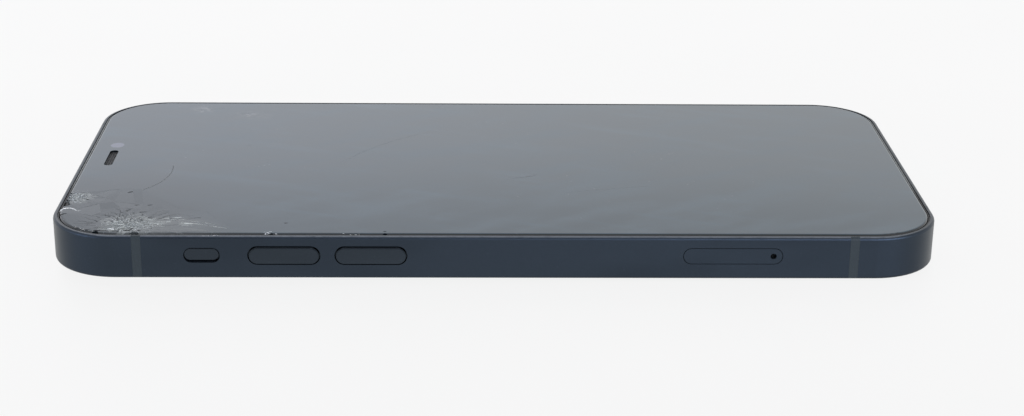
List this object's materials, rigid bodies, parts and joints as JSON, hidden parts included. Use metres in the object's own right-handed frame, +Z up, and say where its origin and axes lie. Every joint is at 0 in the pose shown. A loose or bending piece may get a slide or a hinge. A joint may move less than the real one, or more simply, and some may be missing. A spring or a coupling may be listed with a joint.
{
  "type": "smartphone with a shattered screen",
  "caption": "Smartphone on its back with a shattered corner in its cover glass, sprung side buttons, a sliding silent switch and a pull-out card tray.",
  "frame": {"origin": "under the middle of the body, level with the lowest face of the camera rings", "axes": "+X along the body towards the charging socket, +Y across it towards the side button, +Z up out of the screen"},
  "size_m": [0.1466, 0.072, 0.0089],
  "materials": {
    "band_metal": "fine satin anodising in dark blue",
    "band_plastic": "satin, a little greyer than the band",
    "back_glass": "glossy tinted glass over an opaque dark blue layer",
    "black_film": "matte glue film",
    "island_glass": "satin etched glass over a dark blue layer",
    "ring_metal": "polished anodised ring",
    "lens_glass": "clear coated lens glass over a dark barrel",
    "flash_lens": "clear moulded diffuser",
    "flash_phosphor": "matte yellow phosphor",
    "black_plastic": "fine matte moulding",
    "steel": "thin pressed stainless sheet",
    "cover_glass": "glossy clear glass with light smears and scratches",
    "broken_glass": "shattered glass with frosted crushed edges",
    "rim_rubber": "soft black rim",
    "display_black": "deep black, switched off",
    "flat_cable": "amber polyimide film",
    "mesh_black": "woven black screen",
    "battery_pouch": "matte laminated pouch",
    "board_green": "solder resist",
    "graphite": "matte graphite sheet",
    "copper": "bare flat copper strip",
    "magnet": "nickel-plated magnets",
    "gold": "thin gold plating",
    "screw_metal": "dark blue screw heads",
    "button_metal": "fine satin anodising, a little greyer than the band",
    "card_plastic": "smooth white plastic"
  },
  "bodies": {
    "handset": {"chassis": "band_metal", "antenna_bands": "band_plastic", "back_glass": "back_glass", "back_glue": "black_film", "camera_island": "island_glass", "lens_rings": "ring_metal", "lens_windows": "lens_glass", "flash_window": "flash_lens", "flash_unit": "flash_phosphor", "main_camera": "black_plastic", "wide_camera": "black_plastic", "camera_bracket": "steel", "cover_glass": "cover_glass", "glass_shards": "broken_glass", "display_rim": "rim_rubber", "display_panel": "display_black", "display_plate": "steel", "display_flex": "flat_cable", "earpiece_mesh": "mesh_black", "earpiece_speaker": "black_plastic", "sensor_bracket": "black_plastic", "front_camera": "black_plastic", "front_camera_window": "lens_glass", "infrared_camera": "black_plastic", "dot_projector": "black_plastic", "battery": "battery_pouch", "battery_flex": "flat_cable", "logic_board": "board_green", "board_shields": "steel", "board_connectors": "black_plastic", "heat_spreader": "graphite", "card_reader": "steel", "eject_rod": "steel", "eject_lever": "steel", "eject_pivot": "steel", "charging_coil": "copper", "coil_shield": "graphite", "coil_magnets": "magnet", "socket_shell": "black_plastic", "socket_contacts": "gold", "dock_flex": "flat_cable", "end_screws": "screw_metal", "dust_meshes": "mesh_black", "loudspeaker": "black_plastic", "haptic_motor": "steel", "microphone": "gold", "volume_bracket": "steel", "volume_flex": "flat_cable", "volume_domes": "steel", "side_bracket": "steel", "side_dome": "steel", "switch_unit": "black_plastic", "inner_screws": "steel"},
    "volume_up": {"volume_up_button": "button_metal"},
    "volume_down": {"volume_down_button": "button_metal"},
    "side_button": {"side_button": "button_metal"},
    "silent_switch": {"silent_switch": "button_metal"},
    "card_tray": {"card_tray": "band_metal", "tray_seal": "rim_rubber", "data_card": "card_plastic"}
  },
  "joints": [
    {"name": "volume_up_press", "type": "slide", "parent": "handset", "child": "volume_up", "axis": [0, 1, 0], "range_m": [0, 0.00025], "stiffness_N_per_m": 300, "springref_m": -0.0005},
    {"name": "volume_down_press", "type": "slide", "parent": "handset", "child": "volume_down", "axis": [0, 1, 0], "range_m": [0, 0.00025], "stiffness_N_per_m": 300, "springref_m": -0.0005},
    {"name": "side_button_press", "type": "slide", "parent": "handset", "child": "side_button", "axis": [0, -1, 0], "range_m": [0, 0.00025], "stiffness_N_per_m": 300, "springref_m": -0.0005},
    {"name": "silent_switch_slide", "type": "slide", "parent": "handset", "child": "silent_switch", "axis": [0, 0, -1], "range_m": [0, 0.0005]},
    {"name": "card_tray_pull", "type": "slide", "parent": "handset", "child": "card_tray", "axis": [0, -1, 0], "range_m": [0, 0.024]}
  ]
}
